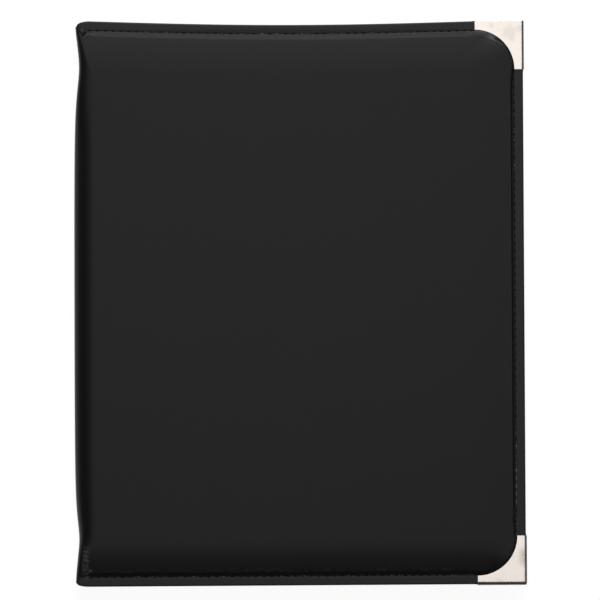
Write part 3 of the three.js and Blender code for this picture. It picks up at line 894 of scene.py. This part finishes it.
def border_paths(z):
    """Along the lower edge, the opening edge and the upper edge, between the metal corners."""
    line = HALF - STITCH_INSET
    across = np.linspace(STITCH_START, FOLDER_WIDTH - CORNER_LEG - STITCH_END, 120)
    up = np.linspace(CORNER_LEG + STITCH_END - HALF, HALF - CORNER_LEG - STITCH_END, 130)
    upper = line - sag(across, np.full(across.shape, line))
    return [
        [(x, -line, z) for x in across],
        [(FOLDER_WIDTH - STITCH_INSET, y, z) for y in up],
        [(x, y, z) for x, y in zip(across, upper)],
    ]


def pocket_paths(outward):
    """Along the pocket's sides and foot as one line, and along its mouth."""
    inset = POCKET_SEAM / 2
    k = cover_face(outward) - POCKET_DEPTH + 0.1
    z = MIDDLE + outward * k
    mouth = POCKET_FOOT + POCKET_HEIGHT
    radius = POCKET_CORNER - inset
    centre = (POCKET_RIGHT - POCKET_CORNER, POCKET_FOOT + POCKET_CORNER)
    line = [(POCKET_LEFT + inset, y, z) for y in np.linspace(mouth - 1.5, POCKET_FOOT + inset, 40)]
    line += [(x, POCKET_FOOT + inset, z) for x in np.linspace(POCKET_LEFT + inset, centre[0], 80)[1:]]
    line += [(centre[0] + radius * math.sin(t), centre[1] - radius * math.cos(t), z)
             for t in np.linspace(0, math.pi / 2, 16)[1:]]
    line += [(POCKET_RIGHT - inset, y, z) for y in np.linspace(centre[1], mouth - 1.5, 40)[1:]]
    hem_z = MIDDLE + outward * (k - POCKET_EASE + 0.05)
    hem = [(x, mouth - MOUTH_HEM + 1.5, hem_z) for x in np.linspace(POCKET_LEFT + 13, POCKET_RIGHT - 13, 90)]
    return [line, hem]


thread = Finish("thread")
place = thread.node("ShaderNodeTexCoord", output=3)
fluff = thread.noise(place, 3000.0, 2.0)
# Pale flecks on the black thread are painted highlights, with more of them on the lower rows beside the opening
# edge.
lower = thread.step(thread.node("ShaderNodeSeparateXYZ", None, {0: place}, 1), -0.14, -0.03, 1.0, 0.0)
beside_opening = thread.step(thread.node("ShaderNodeSeparateXYZ", None, {0: place}, 0), 0.108, 0.114)
painted_light = thread.step(thread.noise(place, 420.0, 1.0) + 0.24 * lower * beside_opening, 0.60, 0.66)
thread_finish = thread.surface(
    Base_Color=thread.mix(painted_light * fluff, (0.0016, 0.0016, 0.0017, 1), (0.20, 0.20, 0.20, 1)),
    Roughness=0.8,
    Specular_IOR_Level=0.08,
    Normal=thread.bump(fluff, 0.0001, 0.6),
)
tree = stitch_tree(thread_finish)
for cover, outward in (("front", 1), ("back", -1)):
    outer = MIDDLE + outward * (cover_face(outward) - STITCH_SINK)
    inner = MIDDLE + outward * (cover_face(outward) - LINING_DEPTH)
    body = f"{cover}_cover"
    outer_rows = stitch_rows(f"{cover}_outer_stitches", border_paths(outer), outward, tree, body)
    inner_rows = stitch_rows(f"{cover}_inner_stitches", border_paths(inner), -outward, tree, body, Bow=0.35,
                             Thread=0.45)
    pocket_rows = stitch_rows(f"{cover}_pocket_stitches", pocket_paths(outward), -outward, tree, body, Bow=0.3,
                              Thread=0.4, Pitch=3.4, Length=2.5)


# Floor, light and camera
# The folder lies on a white sheet. A soft box hangs over it and a longer one stands past its upper end,
# so the padding's upper edge is bright and its lower edge is dark.

floor_finish = Finish("floor")
camera_ray = floor_finish.node("ShaderNodeLightPath", output="Is Camera Ray")
glossy_ray = floor_finish.node("ShaderNodeLightPath", output="Is Glossy Ray")
transmission_ray = floor_finish.node("ShaderNodeLightPath", output="Is Transmission Ray")
seen = camera_ray + glossy_ray + transmission_ray
paper = floor_finish.node("ShaderNodeBsdfDiffuse", None, {"Color": (0.55, 0.55, 0.55, 1)})
shown_paper = floor_finish.node("ShaderNodeBsdfDiffuse", None, {"Color": (0.12, 0.12, 0.12, 1)})
glow = floor_finish.node("ShaderNodeEmission", None, {"Color": (1, 1, 1, 1), "Strength": 0.93})
white = floor_finish.node("ShaderNodeAddShader", None, {0: shown_paper, 1: glow})
floor_finish.node("ShaderNodeOutputMaterial", None, {"Surface": floor_finish.node(
    "ShaderNodeMixShader", None, {0: seen, 1: paper, 2: white})})
floor_mesh = bpy.data.meshes.new("floor")
FLOOR_REACH = 6.0
FLOOR_TOP = -0.0004
floor_mesh.from_pydata([(-FLOOR_REACH, -FLOOR_REACH, FLOOR_TOP), (FLOOR_REACH, -FLOOR_REACH, FLOOR_TOP),
                        (FLOOR_REACH, FLOOR_REACH, FLOOR_TOP), (-FLOOR_REACH, FLOOR_REACH, FLOOR_TOP)],
                       [], [(0, 1, 2, 3)])
floor_mesh.materials.append(floor_finish.material)
floor = bpy.data.objects.new("floor", floor_mesh)
bpy.context.scene.collection.objects.link(floor)


def soft_box(name, place, aim, size, power):
    lamp = bpy.data.lights.new(name, "AREA")
    lamp.shape = "RECTANGLE"
    lamp.size, lamp.size_y = size
    lamp.energy = power
    holder = bpy.data.objects.new(name, lamp)
    holder.location = place
    holder.rotation_euler = (Vector(aim) - Vector(place)).to_track_quat("-Z", "Y").to_euler()
    bpy.context.scene.collection.objects.link(holder)


soft_box("overhead_box", place=(0.0, 0.27, 2.2), aim=(0, 0, 0), size=(1.7, 1.8), power=10.9)
soft_box("upper_box", place=(0.1, 1.9, 1.6), aim=(0, 0, 0), size=(2.2, 0.9), power=56)

world = bpy.data.worlds.new("studio")
world.use_nodes = True
sky = world.node_tree
direction = sky.nodes.new("ShaderNodeTexCoord")
height = sky.nodes.new("ShaderNodeSeparateXYZ")
wall = sky.nodes.new("ShaderNodeMapRange")
wall.interpolation_type = "SMOOTHSTEP"
for socket, value in (("From Min", 0.05), ("From Max", 0.16), ("To Min", 1.0), ("To Max", 0.06)):
    wall.inputs[socket].default_value = value
sky.links.new(direction.outputs["Generated"], height.inputs[0])
sky.links.new(height.outputs["Z"], wall.inputs["Value"])
sky.links.new(wall.outputs[0], sky.nodes["Background"].inputs["Strength"])
sky.nodes["Background"].inputs["Color"].default_value = (1, 1, 1, 1)
bpy.context.scene.world = world

CAMERA_TURN = (1.449, -1.865, -0.249)
CAMERA_TARGET = (-0.00059, 0.00143, 0.0122)
CAMERA_DISTANCE = 1.6
FIELD = 0.33043  # width of what is seen at the target
SENSOR = 36
camera_data = bpy.data.cameras.new("camera")
camera_data.sensor_width = SENSOR
camera_data.lens = SENSOR * CAMERA_DISTANCE / FIELD
camera = bpy.data.objects.new("camera", camera_data)
camera.rotation_euler = Euler([math.radians(turn) for turn in CAMERA_TURN])
camera.location = Vector(CAMERA_TARGET) - camera.rotation_euler.to_matrix() @ Vector((0, 0, -CAMERA_DISTANCE))
bpy.context.scene.collection.objects.link(camera)
bpy.context.scene.camera = camera
bpy.context.scene.view_settings.view_transform = "Standard"
